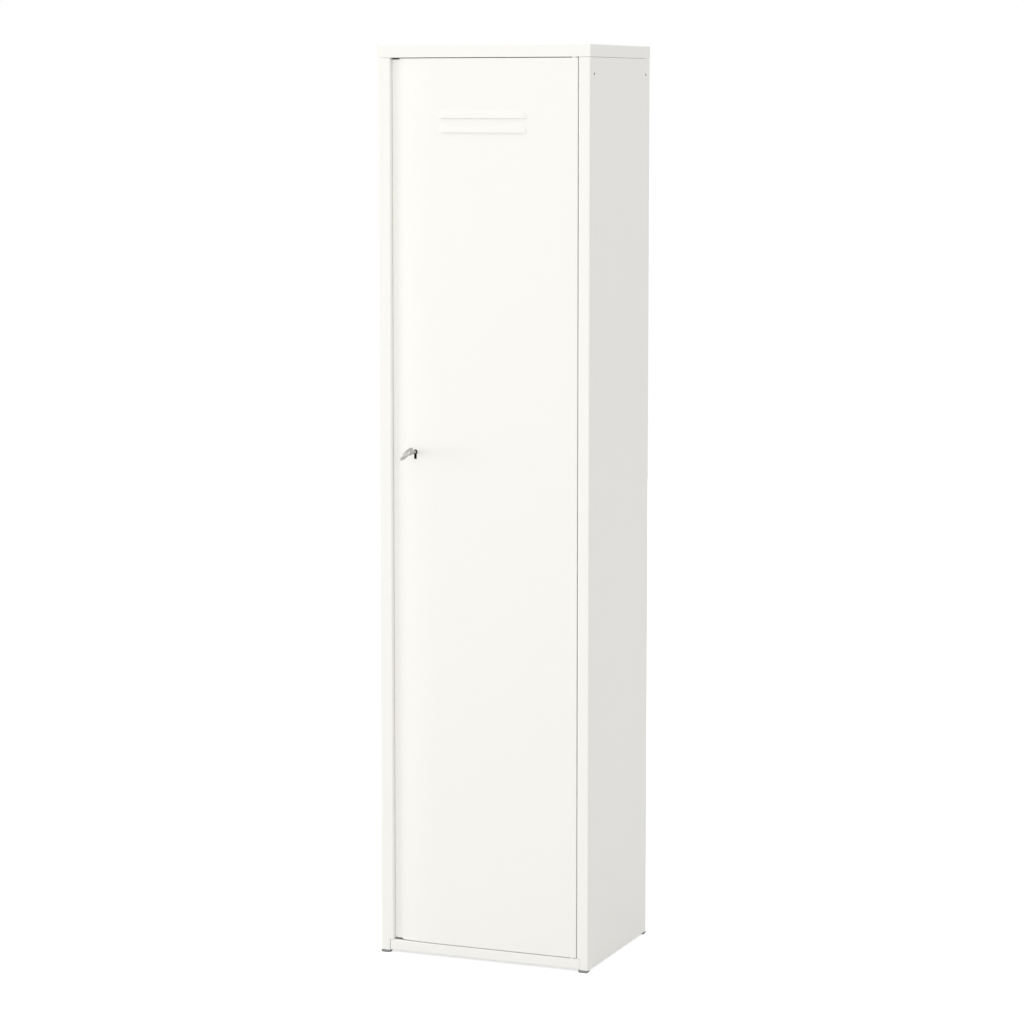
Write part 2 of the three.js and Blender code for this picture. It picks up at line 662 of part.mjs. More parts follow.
// Door frame: angles welded inside the skin's upright edges, and folded plates that close its ends
function doorEdgeHinge() {
  const near = SHEET + SEAT + SHEET / 2;
  const web = doorRight - near;
  const plan = [[web - DOOR_FRAME, near], [web, near], [web, DOOR_DEPTH]];
  return extrudeZ(foldedSheet(plan), doorBottom + PIN_CLEAR, doorTop - PIN_CLEAR);
}
addPart('door_edge_hinge', doorEdgeHinge(), WHITE_PAINT);

function doorEdgeLock() {
  const web = doorLeft + SHEET + SEAT + SHEET / 2;
  const rear = DOOR_DEPTH - SHEET / 2;
  const plan = [[web + DOOR_FRAME, rear], [web, rear], [web, GRIP_DEPTH + DOOR_LIP - SHEET]];
  const angle = extrudeZ(foldedSheet(plan), doorBottom + PIN_CLEAR, doorTop - PIN_CLEAR);
  return cut(angle, boltOpening(web - SHEET, web + SHEET));
}
addPart('door_edge_lock', doorEdgeLock(), WHITE_PAINT);

// A plate inside the skin's outline, turned along its rear edge; up is 1 for the lower end
function doorEnd(edge, up) {
  const inside = sheetSides(doorPlan(), SHEET + 2 * SEAT).left;
  const lockSide = doorLeft + SHEET + SEAT;
  const hingeSide = doorRight - SHEET - SEAT;
  const corners = [new THREE.Vector2(hingeSide, DOOR_DEPTH), new THREE.Vector2(lockSide, DOOR_DEPTH)];
  const outline = new THREE.Shape([...inside, ...corners]);
  const plateZ = [edge, edge + up * SHEET].sort((a, b) => a - b);
  const foldZ = [edge, edge + up * DOOR_FRAME].sort((a, b) => a - b);
  const clearLock = lockSide + 2 * SHEET + DOOR_FRAME;
  const clearHinge = hingeSide - 2 * SHEET;
  const fold = block(clearLock, clearHinge, DOOR_DEPTH - SHEET, DOOR_DEPTH, ...foldZ);
  const pinHole = rodZ(PIN_RADIUS + SEAT, pivotX, PIVOT_SETBACK, plateZ[0] - SHEET, plateZ[1] + SHEET);
  return cut(join(extrudeZ(outline, ...plateZ), fold), pinHole, reliefs());
}
addPart('door_end_lower', doorEnd(doorBottom, 1), WHITE_PAINT);
addPart('door_end_upper', doorEnd(doorTop, -1), WHITE_PAINT);

// Stiffener: an upright hat channel behind the door's face
function doorStiffener() {
  const near = SHEET + SEAT + SHEET / 2;
  const far = near + STIFFENER_DEPTH;
  const middle = (doorLeft + doorRight) / 2;
  const inner = STIFFENER_CROWN / 2;
  const outer = inner + STIFFENER_FLANGE;
  const plan = [
    [middle - outer, near],
    [middle - inner, near],
    [middle - inner, far],
    [middle + inner, far],
    [middle + inner, near],
    [middle + outer, near],
  ];
  const top = louvreEdge(LOUVRE_COUNT - 1) - STIFFENER_MARGIN;
  return extrudeZ(foldedSheet(plan), doorBottom + STIFFENER_MARGIN, top);
}
addPart('door_stiffener', doorStiffener(), WHITE_PAINT);

// Hinge pins: headed pins through the door's lower and upper end plates
function hingePin(edge, down) {
  const inside = edge + down * (SHEET + SEAT);
  const head = [inside, inside + down * PIN_HEAD].sort((a, b) => a - b);
  const shank = [inside + (down * PIN_HEAD) / 2, edge - down * PIN_REACH].sort((a, b) => a - b);
  return join(
    rodZ(PIN_HEAD_RADIUS, pivotX, PIVOT_SETBACK, ...head),
    rodZ(PIN_RADIUS, pivotX, PIVOT_SETBACK, ...shank),
  );
}
addPart('hinge_pin_lower', hingePin(doorBottom, 1), ZINC_STEEL);
addPart('hinge_pin_upper', hingePin(doorTop, -1), ZINC_STEEL);

// Lock case: a box open at the back, with ears for its studs and a stump that guides the bolt
const caseX = [keyX - CASE_LEFT, keyX + CASE_RIGHT];
const caseZ = [KEY_HEIGHT - CASE_BELOW, KEY_HEIGHT + CASE_ABOVE];
const studX = keyX + STUD_OFFSET;
const studHeights = [caseZ[0] - EAR_LENGTH / 2, caseZ[1] + EAR_LENGTH / 2];
const stumpX = keyX + CASE_WALL;

function lockCase() {
  const ear = block(
    studX - EAR_WIDTH / 2, studX + EAR_WIDTH / 2, caseFront, caseFront + CASE_WALL,
    caseZ[0] - EAR_LENGTH, caseZ[1] + EAR_LENGTH,
  );
  const outer = block(...caseX, caseFront, caseBack, ...caseZ);
  const inner = block(
    caseX[0] + CASE_WALL, caseX[1] - CASE_WALL, caseFront + CASE_WALL, caseBack + CASE_WALL,
    caseZ[0] + CASE_WALL, caseZ[1] - CASE_WALL,
  );
  const stump = rodY(STUMP_RADIUS, stumpX, caseFront, caseBack - SEAT, KEY_HEIGHT + STUMP_RAISE);
  const studHole = (z) => rodY(STUD_RADIUS + SEAT, studX, 0, caseFront + 2 * CASE_WALL, z);
  const shell = cut(
    join(outer, ear), inner, keyhole(0, caseFront + 2 * CASE_WALL, SEAT),
    boltOpening(caseX[0] - CASE_WALL, caseX[0] + 2 * CASE_WALL), ...studHeights.map(studHole),
  );
  return join(shell, stump);
}
addPart('lock_case', lockCase(), ZINC_STEEL);

function lockCover() {
  const plate = block(...caseX, caseBack + SEAT, caseBack + SEAT + CASE_WALL, ...caseZ);
  return cut(plate, rodY(KEY_SHANK + 2 * SEAT, keyX, caseBack, caseBack + 2 * CASE_WALL + SEAT, KEY_HEIGHT));
}
addPart('lock_cover', lockCover(), ZINC_STEEL);

// Weld studs on the door's inner face, and the nuts that hold the lock case
studHeights.forEach((z, index) => {
  const studFoot = faceDepth(studX - STUD_SHOULDER) + SHEET + SEAT;
  const stud = join(
    rodY(STUD_SHOULDER, studX, studFoot, caseFront - SEAT, z),
    rodY(STUD_RADIUS, studX, studFoot + SEAT, studFoot + STUD_LENGTH, z),
  );
  const nutStart = caseFront + CASE_WALL + SEAT;
  const nut = cut(
    rodY(NUT_RADIUS, studX, nutStart, nutStart + NUT_LENGTH, z, NUT_SIDES),
    rodY(STUD_RADIUS + SEAT, studX, nutStart - SHEET, nutStart + NUT_LENGTH + SHEET, z),
  );
  const place = ['lower', 'upper'][index];
  addPart(`lock_stud_${place}`, stud, ZINC_STEEL);
  addPart(`lock_nut_${place}`, nut, ZINC_STEEL);
});

// Bolt: a bar with a talon notch for the key's bit and a guide slot, drawn back at rest
function lockBolt() {
  const tip = doorLeft + SHEET / 2;
  const tail = keyX + BOLT_TAIL;
  const bar = block(tip, tail, BOLT_SETBACK, boltBack, boltBottom, boltTop);
  const talonX = keyX + boltThrow / 2;
  const talon = block(
    talonX - TALON_WIDTH / 2, talonX + TALON_WIDTH / 2, BOLT_SETBACK - SHEET, boltBack + SHEET,
    boltBottom - SHEET, boltBottom + TALON_DEPTH,
  );
  const slotRadius = STUMP_RADIUS + BOLT_CLEARANCE;
  const slotZ = KEY_HEIGHT + STUMP_RAISE;
  const slotEnd = stumpX + boltThrow;
  const slot = join(
    rodY(slotRadius, stumpX, BOLT_SETBACK - SHEET, boltBack + SHEET, slotZ),
    rodY(slotRadius, slotEnd, BOLT_SETBACK - SHEET, boltBack + SHEET, slotZ),
    block(stumpX, slotEnd, BOLT_SETBACK - SHEET, boltBack + SHEET, slotZ - slotRadius, slotZ + slotRadius),
  );
  return cut(bar, talon, slot);
}
addPart('lock_bolt', lockBolt(), ZINC_STEEL);

// Key: open oval bow, collar, round shank and a flat bit, drawn upright about its own axis
function lockKey() {
  const bowBack = -KEY_REACH + BOW_LENGTH;
  const bowMiddle = -KEY_REACH + BOW_LENGTH / 2;
  const bow = new THREE.Shape();
  bow.absellipse(bowMiddle, 0, BOW_LENGTH / 2, BOW_WIDTH / 2, 0, 2 * Math.PI);
  const opening = new THREE.Path();
  opening.absellipse(bowMiddle, 0, BOW_LENGTH / 2 - BOW_RIM, BOW_WIDTH / 2 - BOW_RIM, 0, 2 * Math.PI);
  bow.holes.push(opening);
  const ring = extrudeX(bow, -BOW_THICKNESS / 2, BOW_THICKNESS / 2);
  const bitBack = boltBack + BOLT_CLEARANCE;
  const shank = rodY(KEY_SHANK, 0, bowBack - BOW_RIM / 2, caseBack + CASE_WALL, 0);
  const collar = rodY(KEY_COLLAR, 0, bowBack, bowBack + KEY_COLLAR_LENGTH, 0);
  const bit = block(-BIT_THICKNESS / 2, BIT_THICKNESS / 2, bitBack - BIT_LENGTH, bitBack, 0, BIT_RADIUS);
  return join(ring, shank, collar, bit);
}
const key = addPart('key', lockKey(), NICKEL);
key.position.set(keyX, 0, KEY_HEIGHT);
key.rotation.y = keyLean;

// The origin is on the floor, under the middle of the whole locker with its key
model.position.y = (KEY_REACH - DEPTH) / 2;

export default model;
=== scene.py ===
# %% [markdown]
# # A white steel locker
# The locker is a tall box of folded sheet steel with one door, a key in its lock and small plastic feet.
# Its folds, pins and lock come from the frame. This lesson remakes the pieces that the eye rests on, the
# door's pressed sheet and the key, with softer forms, and then adds the finishes, the light and the camera.

# %% Load the frame
import json
import math

import bpy
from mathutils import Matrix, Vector


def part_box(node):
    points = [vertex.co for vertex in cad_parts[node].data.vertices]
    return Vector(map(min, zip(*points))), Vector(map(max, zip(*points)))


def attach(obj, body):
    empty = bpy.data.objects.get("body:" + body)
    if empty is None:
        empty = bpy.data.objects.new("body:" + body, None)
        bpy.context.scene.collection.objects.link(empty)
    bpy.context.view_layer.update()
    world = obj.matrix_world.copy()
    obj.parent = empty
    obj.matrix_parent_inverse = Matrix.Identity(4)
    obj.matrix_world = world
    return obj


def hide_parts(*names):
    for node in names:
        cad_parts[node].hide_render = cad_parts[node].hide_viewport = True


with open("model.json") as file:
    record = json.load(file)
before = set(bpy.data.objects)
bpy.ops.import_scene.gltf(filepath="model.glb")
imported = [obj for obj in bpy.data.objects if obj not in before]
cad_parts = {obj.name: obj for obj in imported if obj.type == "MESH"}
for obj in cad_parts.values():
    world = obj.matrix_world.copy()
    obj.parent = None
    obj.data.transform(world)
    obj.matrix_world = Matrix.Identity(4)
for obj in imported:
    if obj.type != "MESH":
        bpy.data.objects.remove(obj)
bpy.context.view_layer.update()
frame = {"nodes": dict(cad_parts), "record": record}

# %% [markdown]
# # Colours and nodes
# Colours are written as they look on a screen, and the curve that screens share turns them into the
# linear values that the renderer adds up. One small function adds a node and sets its sockets, so that each
# finish below reads as a list.

# %% Helpers for finishes


def linear(code):
    channels = [int(code[i:i + 2], 16) / 255 for i in (1, 3, 5)]
    rgb = [c / 12.92 if c <= 0.04045 else ((c + 0.055) / 1.055) ** 2.4 for c in channels]
    return (*rgb, 1.0)


def add_node(tree, kind, **sockets):
    node = tree.nodes.new(kind)
    for name, value in sockets.items():
        socket = node.inputs[name.replace("_", " ")]
        if isinstance(value, bpy.types.NodeSocket):
            tree.links.new(value, socket)
        else:
            socket.default_value = value
    return node


def new_material(name):
    material = bpy.data.materials.new(name)
    material.use_nodes = True
    tree = material.node_tree
    return material, tree, tree.nodes["Principled BSDF"]


# %% [markdown]
# # Powder coat
# The white is a polyester powder coat: sprayed on dry and baked into one thick even skin. It has a faint
# orange peel, about two millimetres from crest to crest, and a soft sheen that varies a little. The sheet
# under it is never quite flat, so a much larger and weaker wave bends the reflections from place to place.

# %% White powder coat
PEEL_SIZE = 0.0022
PEEL_DEPTH = 0.0002
PEEL_STRENGTH = 0.05
WAVE_SIZE = 0.22
WAVE_DEPTH = 0.002
WAVE_STRENGTH = 0.06
SHEEN_PATCH = 0.05
SHEEN_GLOSSY = 0.38
SHEEN_DULL = 0.48
COAT_SPECULAR = 0.4


def powder_coat(name, colour):
    material, tree, surface = new_material(name)
    place = add_node(tree, "ShaderNodeTexCoord").outputs["Object"]
    peel = add_node(tree, "ShaderNodeTexNoise", Vector=place, Scale=1 / PEEL_SIZE, Detail=2.0)
    wave = add_node(tree, "ShaderNodeTexNoise", Vector=place, Scale=1 / WAVE_SIZE, Detail=1.0)
    broad = add_node(
        tree, "ShaderNodeBump", Height=wave.outputs["Fac"], Strength=WAVE_STRENGTH, Distance=WAVE_DEPTH,
    )
    fine = add_node(
        tree, "ShaderNodeBump", Height=peel.outputs["Fac"], Strength=PEEL_STRENGTH, Distance=PEEL_DEPTH,
        Normal=broad.outputs["Normal"],
    )
    patch = add_node(tree, "ShaderNodeTexNoise", Vector=place, Scale=1 / SHEEN_PATCH, Detail=2.0)
    sheen = add_node(
        tree, "ShaderNodeMapRange", Value=patch.outputs["Fac"], To_Min=SHEEN_GLOSSY, To_Max=SHEEN_DULL,
    )
    tree.links.new(fine.outputs["Normal"], surface.inputs["Normal"])
    tree.links.new(sheen.outputs["Result"], surface.inputs["Roughness"])
    surface.inputs["Base Color"].default_value = linear(colour)
    surface.inputs["Specular IOR Level"].default_value = COAT_SPECULAR
    return material


# %% [markdown]
# # Metals and plastics
# The lock's hidden parts are zinc-plated steel, a grey metal whose crystals break up its gloss every few
# millimetres. The key is nickel-plated and smoother. Feet and bushes are moulded plastic, and the door
# closes on rubber: these get a fine grain from the mould instead of a polish.

# %% Metals and plastics
GLOSS_SPREAD = 0.2
MOULD_GRAIN = 0.0008
MOULD_DEPTH = 0.0002
MOULD_STRENGTH = 0.1


def metal(name, colour, roughness, grain):
    material, tree, surface = new_material(name)
    place = add_node(tree, "ShaderNodeTexCoord").outputs["Object"]
    noise = add_node(tree, "ShaderNodeTexNoise", Vector=place, Scale=1 / grain, Detail=3.0)
    spread = add_node(
        tree, "ShaderNodeMapRange", Value=noise.outputs["Fac"],
        To_Min=roughness * (1 - GLOSS_SPREAD), To_Max=roughness * (1 + GLOSS_SPREAD),
    )
    tree.links.new(spread.outputs["Result"], surface.inputs["Roughness"])
    surface.inputs["Base Color"].default_value = linear(colour)
    surface.inputs["Metallic"].default_value = 1.0
    return material


def plastic(name, colour, roughness):
    material, tree, surface = new_material(name)
    place = add_node(tree, "ShaderNodeTexCoord").outputs["Object"]
    grain = add_node(tree, "ShaderNodeTexNoise", Vector=place, Scale=1 / MOULD_GRAIN, Detail=2.0)
    bump = add_node(
        tree, "ShaderNodeBump", Height=grain.outputs["Fac"], Strength=MOULD_STRENGTH, Distance=MOULD_DEPTH,
    )
    tree.links.new(bump.outputs["Normal"], surface.inputs["Normal"])
    surface.inputs["Base Color"].default_value = linear(colour)
    surface.inputs["Roughness"].default_value = roughness
    return material


finishes = {
    "white_paint": powder_coat("white_paint", "#F8F7F2"),
    "zinc_steel": metal("zinc_steel", "#B4B8BB", roughness=0.38, grain=0.004),
    "nickel": metal("nickel", "#B4B3AF", roughness=0.24, grain=0.003),
    "nylon": plastic("nylon", "#ECEBE6", roughness=0.5),
    "grey_plastic": plastic("grey_plastic", "#8A8B8C", roughness=0.6),
    "rubber": plastic("rubber", "#38383A", roughness=0.8),
}

for entry in frame["record"]["subparts"]:
    node = frame["nodes"][entry["node"]]
    node.data.materials.clear()
    node.data.materials.append(finishes[entry["material_slot"]])

# %% [markdown]
# # Working by hand, in code
# Blender's operators act on whatever is selected, so each piece starts with nothing selected. The helpers
# below pick points by their place, apply a modifier, and hand a finished piece to the frame. Weighted
# Normal comes last on each piece, so that wide flat faces stay evenly lit up to the bends beside them.

# %% Helpers for modelling


def nothing_selected():
    if bpy.context.object and bpy.context.object.mode != "OBJECT":
        bpy.ops.object.mode_set(mode="OBJECT")
    bpy.ops.object.select_all(action="DESELECT")


def work_on(piece):
    nothing_selected()
    piece.select_set(True)
    bpy.context.view_layer.objects.active = piece


def pick_edges(piece, wanted):
    bpy.ops.object.mode_set(mode="EDIT")
    bpy.ops.mesh.select_mode(type="EDGE")
    bpy.ops.mesh.select_all(action="DESELECT")
    bpy.ops.object.mode_set(mode="OBJECT")
    points = piece.data.vertices
    for edge in piece.data.edges:
        edge.select = all(wanted(points[i].co) for i in edge.vertices)
    bpy.ops.object.mode_set(mode="EDIT")


def pick_points(piece, wanted):
    bpy.ops.object.mode_set(mode="EDIT")
    bpy.ops.mesh.select_mode(type="VERT")
    bpy.ops.mesh.select_all(action="DESELECT")
    bpy.ops.object.mode_set(mode="OBJECT")
    for point in piece.data.vertices:
        point.select = wanted(point.co)
    bpy.ops.object.mode_set(mode="EDIT")


def apply_modifier(piece, kind, **settings):
    work_on(piece)
    modifier = piece.modifiers.new(kind.lower(), kind)
    for name, value in settings.items():
        setattr(modifier, name, value)
    bpy.ops.object.modifier_apply(modifier=modifier.name)


def carve(piece, tool, operation):
    apply_modifier(piece, "BOOLEAN", operation=operation, object=tool, solver="EXACT")
    bpy.data.objects.remove(tool)


def place_piece(piece, name, body, slot, node, smooth_angle):
    work_on(piece)
    bpy.ops.object.transform_apply(location=True, rotation=True, scale=True)
    bpy.ops.object.shade_smooth_by_angle(angle=math.radians(smooth_angle))
    apply_modifier(piece, "WEIGHTED_NORMAL", keep_sharp=True)
    piece.name = name
    piece.data.materials.clear()
    piece.data.materials.append(finishes[slot])
    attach(piece, body)
    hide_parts(node)
    print(name, len(piece.data.polygons), "faces")


# %% [markdown]
# # The door's sheet
# The door's face is one sheet of steel. Towards its lock edge the press draws it back behind the stile,
# over a few centimetres, which gives the fingers an edge to pull. A flat plane is cut at the bend line and
# its edge points are pushed back. Short lips are pulled out of the two long edges, bevels round the folds
# and ease the wide bend, Solidify gives the sheet its thickness, and the corners that would foul the fold
# are cut off. The lock edge closes on the stile with hardly a gap.

# %% Door sheet: bend line
SHEET = 0.001
HINGE_BEND = 0.0016
LOCK_BEND = 0.0011
BEND_SEGMENTS = 4
EASE_SEGMENTS = 12
GRIP_BACK = 0.0085
GRIP_WIDTH = 0.0555
GRIP_ROUND = 0.0275
LIP = 0.002
LOCK_REACH = 0.0005
HINGE_REACH = 0.0003
RELIEF_HEIGHT = 0.002
RELIEF_WIDTH = 0.016
SHEET_SMOOTH = 14
NEAR = 0.00005

skin_low, skin_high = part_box("door_skin")
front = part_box("side_panel_left")[0][1]
door_left, door_right = skin_low[0] - LOCK_REACH, skin_high[0] + HINGE_REACH
door_bottom, door_top = skin_low[2], skin_high[2]
door_middle = (door_left + door_right) / 2
grip_line = door_left + GRIP_WIDTH


def upright_line(x):
    return lambda co: abs(co.x - x) < NEAR


nothing_selected()
bpy.ops.mesh.primitive_plane_add(
    size=1, location=(door_middle, front, (door_bottom + door_top) / 2), rotation=(math.pi / 2, 0, 0),
)
skin = bpy.context.active_object
skin.scale = (door_right - door_left, door_top - door_bottom, 1)
bpy.ops.object.transform_apply(location=True, rotation=True, scale=True)
bpy.ops.object.mode_set(mode="EDIT")
bpy.ops.mesh.select_all(action="SELECT")
bpy.ops.mesh.bisect(plane_co=(grip_line, 0, 0), plane_no=(1, 0, 0))
bpy.ops.object.mode_set(mode="OBJECT")
pick_edges(skin, upright_line(door_left))
bpy.ops.transform.translate(value=(0, GRIP_BACK, 0))
bpy.ops.object.mode_set(mode="OBJECT")

# %% Door sheet: lips, bends, thickness and cut corners
for edge_line in (door_left, door_right):
    pick_edges(skin, upright_line(edge_line))
    bpy.ops.mesh.extrude_region_move(TRANSFORM_OT_translate={"value": (0, LIP + HINGE_BEND, 0)})
    bpy.ops.object.mode_set(mode="OBJECT")


def fold_corner(x, depth):
    return lambda co: abs(co.x - x) < NEAR and abs(co.y - front - depth) < NEAR


for edge_line, depth, bend in ((door_left, GRIP_BACK, LOCK_BEND), (door_right, 0, HINGE_BEND)):
    pick_edges(skin, fold_corner(edge_line, depth))
    bpy.ops.mesh.bevel(offset=bend, segments=BEND_SEGMENTS, affect="EDGES")
    bpy.ops.object.mode_set(mode="OBJECT")
pick_edges(skin, upright_line(grip_line))
bpy.ops.mesh.bevel(offset=GRIP_ROUND, segments=EASE_SEGMENTS, affect="EDGES")
bpy.ops.object.mode_set(mode="OBJECT")
apply_modifier(skin, "SOLIDIFY", thickness=SHEET, offset=-1)

for corner in (door_bottom, door_top):
    nothing_selected()
    bpy.ops.mesh.primitive_cube_add(size=2, location=(door_left, front, corner))
    nibble = bpy.context.active_object
    nibble.scale = (RELIEF_WIDTH, 2 * RELIEF_WIDTH, RELIEF_HEIGHT)
    bpy.ops.object.transform_apply(location=True, rotation=True, scale=True)
    carve(skin, nibble, "DIFFERENCE")
print("door sheet", len(skin.data.polygons), "faces")

# %% [markdown]
# # Pressed louvres
# Two air louvres are pressed out of the sheet near its top. Each is half of a long flattened capsule,
# slit along its lower edge. A ball is turned by half a facet, so that none of its points lies on a cut,
# pulled apart into a capsule, flattened to its own depth in front of the sheet and behind it, and cut off
# at the slit. One such form is added to the sheet, and a smaller one, which goes right through it, is taken
# away.

# %% Louvres
LOUVRE_LENGTH = 0.165
LOUVRE_HEIGHT = 0.013
LOUVRE_RISE = 0.002
HOLLOW_RISE = 0.0012
HOLLOW_BACK = 0.004
LOUVRE_PITCH = 0.025
LOUVRE_COUNT = 2
LOUVRE_DROP = 0.104
BALL_SEGMENTS = 64
BALL_RINGS = 31
CUT_TOLERANCE = 1e-7


def half_capsule(height, rise, back, length, slit, floor):
    nothing_selected()
    bpy.ops.mesh.primitive_uv_sphere_add(
        segments=BALL_SEGMENTS, ring_count=BALL_RINGS, radius=height,
        rotation=(0, 0, math.pi / BALL_SEGMENTS),
    )
    capsule = bpy.context.active_object
    bpy.ops.object.transform_apply(location=False, rotation=True, scale=False)
    capsule.rotation_euler = (0, math.pi / 2, 0)
    bpy.ops.object.transform_apply(location=False, rotation=True, scale=False)
    pull = length / 2 - height
    pick_points(capsule, lambda co: co.x > 0)
    bpy.ops.transform.translate(value=(pull, 0, 0))
    pick_points(capsule, lambda co: co.x < 0)
    bpy.ops.transform.translate(value=(-pull, 0, 0))
    pick_points(capsule, lambda co: co.y < 0)
    bpy.ops.transform.resize(value=(1, rise / height, 1), center_override=(0, 0, 0))
    pick_points(capsule, lambda co: co.y > 0)
    bpy.ops.transform.resize(value=(1, back / height, 1), center_override=(0, 0, 0))
    bpy.ops.mesh.select_all(action="SELECT")
    bpy.ops.transform.translate(value=(door_middle, front, slit))
    bpy.ops.mesh.bisect(
        plane_co=(0, 0, floor), plane_no=(0, 0, 1), use_fill=True, clear_inner=True,
        threshold=CUT_TOLERANCE,
    )
    bpy.ops.mesh.select_all(action="SELECT")
    bpy.ops.mesh.normals_make_consistent(inside=False)
    bpy.ops.object.mode_set(mode="OBJECT")
    return capsule


for index in range(LOUVRE_COUNT):
    slit = door_top - LOUVRE_DROP - index * LOUVRE_PITCH
    hood = half_capsule(LOUVRE_HEIGHT, LOUVRE_RISE, SHEET / 2, LOUVRE_LENGTH, slit, slit)
    carve(skin, hood, "UNION")
    hollow = half_capsule(
        LOUVRE_HEIGHT - SHEET, HOLLOW_RISE, HOLLOW_BACK, LOUVRE_LENGTH - 2 * SHEET, slit, slit - NEAR,
    )
    carve(skin, hollow, "DIFFERENCE")
print("sheet with louvres", len(skin.data.polygons), "faces")

# %% [markdown]
# # Keyhole
# The keyhole is a round hole with a slot below it, punched straight through the sheet. A short rod cuts
# the hole, and a block under it cuts the slot.

# %% Keyhole
KEYHOLE_RADIUS = 0.0044
KEYHOLE_POINTS = 48
KEYHOLE_SLOT = 0.0054
KEYHOLE_DROP = 0.0125
PUNCH_REACH = 0.02

key_joint = next(joint for joint in frame["record"]["behaviour"]["joints"] if joint["name"] == "key_turn")
key_x, key_y, key_z = key_joint["pos_m"]

nothing_selected()
bpy.ops.mesh.primitive_cylinder_add(
    vertices=KEYHOLE_POINTS, radius=KEYHOLE_RADIUS, depth=PUNCH_REACH, rotation=(math.pi / 2, 0, 0),
    location=(key_x, front, key_z),
)
bpy.ops.object.transform_apply(location=True, rotation=True, scale=True)
carve(skin, bpy.context.active_object, "DIFFERENCE")

nothing_selected()
bpy.ops.mesh.primitive_cube_add(size=1, location=(key_x, front, key_z - KEYHOLE_DROP / 2))
slot_punch = bpy.context.active_object
slot_punch.scale = (KEYHOLE_SLOT, PUNCH_REACH, KEYHOLE_DROP)
bpy.ops.object.transform_apply(location=True, rotation=True, scale=True)
carve(skin, slot_punch, "DIFFERENCE")
place_piece(skin, "door_sheet", "door", "white_paint", "door_skin", SHEET_SMOOTH)

# %% [markdown]
# # The key
# The key is cast in one piece and nickel-plated: an open bow that is nearly round, a collar behind it, a
# round shank and a flat bit. The bow starts as a circle curve, squeezed to an oval and given a round
# section that is then flattened; the shank is pulled out of one circle, step by step, like turned work.

# %% Key bow
KEY_REACH = 0.051
BOW_LENGTH = 0.029
BOW_WIDTH = 0.031
BOW_RIM = 0.0056
BOW_THICKNESS = 0.0042
BOW_STEPS = 16
RIM_STEPS = 6

nothing_selected()
bpy.ops.curve.primitive_bezier_circle_add(radius=1, rotation=(0, math.pi / 2, 0))
bow = bpy.context.active_object
bow.scale = ((BOW_WIDTH - BOW_RIM) / 2, (BOW_LENGTH - BOW_RIM) / 2, 1)
bow.location = (0, -KEY_REACH + BOW_LENGTH / 2, 0)
bpy.ops.object.transform_apply(location=True, rotation=True, scale=True)
# applying the scale also shrinks each point's own radius, which sets the section's size
for point in bow.data.splines[0].bezier_points:
    point.radius = 1
bow.data.resolution_u = BOW_STEPS
bow.data.bevel_resolution = RIM_STEPS
bow.data.bevel_depth = BOW_RIM / 2
bpy.ops.object.convert(target="MESH")
bow.scale = (BOW_THICKNESS / BOW_RIM, 1, 1)
bpy.ops.object.transform_apply(location=False, rotation=False, scale=True)
print("bow", len(bow.data.polygons), "faces")

# %% Key shank, collar and bit
SHANK_RADIUS = 0.003
SHANK_POINTS = 32
STUB_TAPER = 0.8
COLLAR_RADIUS = 0.0043
COLLAR_LENGTH = 0.003
BIT_RADIUS = 0.009
BIT_THICKNESS = 0.0024
BIT_LENGTH = 0.007
BIT_END = 0.020
KEY_TIP = 0.0243
KEY_BEVEL = 0.0003
KEY_BEVEL_STEPS = 2
KEY_LEAN = math.radians(42)
KEY_SMOOTH = 35

bow_back = -KEY_REACH + BOW_LENGTH
nothing_selected()
bpy.ops.mesh.primitive_circle_add(
    vertices=SHANK_POINTS, radius=SHANK_RADIUS, fill_type="NGON",
    location=(0, KEY_TIP, 0), rotation=(math.pi / 2, 0, 0),
)
shank = bpy.context.active_object
bpy.ops.object.transform_apply(location=True, rotation=True, scale=True)
bpy.ops.object.mode_set(mode="EDIT")
bpy.ops.mesh.select_all(action="SELECT")


def pull_out(distance, swell):
    bpy.ops.mesh.extrude_region_move(TRANSFORM_OT_translate={"value": (0, -distance, 0)})
    bpy.ops.transform.resize(value=(swell, 1, swell))


pull_out(KEY_TIP - bow_back - COLLAR_LENGTH, 1)
pull_out(0, COLLAR_RADIUS / SHANK_RADIUS)
pull_out(COLLAR_LENGTH, 1)
pull_out(0, SHANK_RADIUS / COLLAR_RADIUS)
pull_out(BOW_RIM / 2, STUB_TAPER)
bpy.ops.mesh.select_all(action="SELECT")
bpy.ops.mesh.normals_make_consistent(inside=False)
bpy.ops.object.mode_set(mode="OBJECT")
apply_modifier(shank, "BEVEL", width=KEY_BEVEL, segments=KEY_BEVEL_STEPS, limit_method="ANGLE")

nothing_selected()
bpy.ops.mesh.primitive_cube_add(size=1, location=(0, BIT_END - BIT_LENGTH / 2, BIT_RADIUS / 2))
bit = bpy.context.active_object
bit.scale = (BIT_THICKNESS, BIT_LENGTH, BIT_RADIUS)
bpy.ops.object.transform_apply(location=True, rotation=True, scale=True)
apply_modifier(bit, "BEVEL", width=KEY_BEVEL, segments=KEY_BEVEL_STEPS, limit_method="ANGLE")

carve(shank, bit, "UNION")
carve(shank, bow, "UNION")
shank.location = (key_x, key_y, key_z)
shank.rotation_euler = (0, KEY_LEAN, 0)
place_piece(shank, "key_body", "key", "nickel", "key", KEY_SMOOTH)

# %% [markdown]
# # Floor and light
# The photograph is a catalogue picture on pure white. The floor is a matt grey, lifted to white by a glow
# that the camera and the metal see but that lights nothing, so it keeps a soft shadow at the feet. Most of
# the light comes evenly from all round, which leaves the side a light grey. A wide lamp stands in front and
# a weak one hangs overhead. A third lamp, far to the left, is cut off by the stile, which leaves the grey
# strip on the door's drawn-back edge.

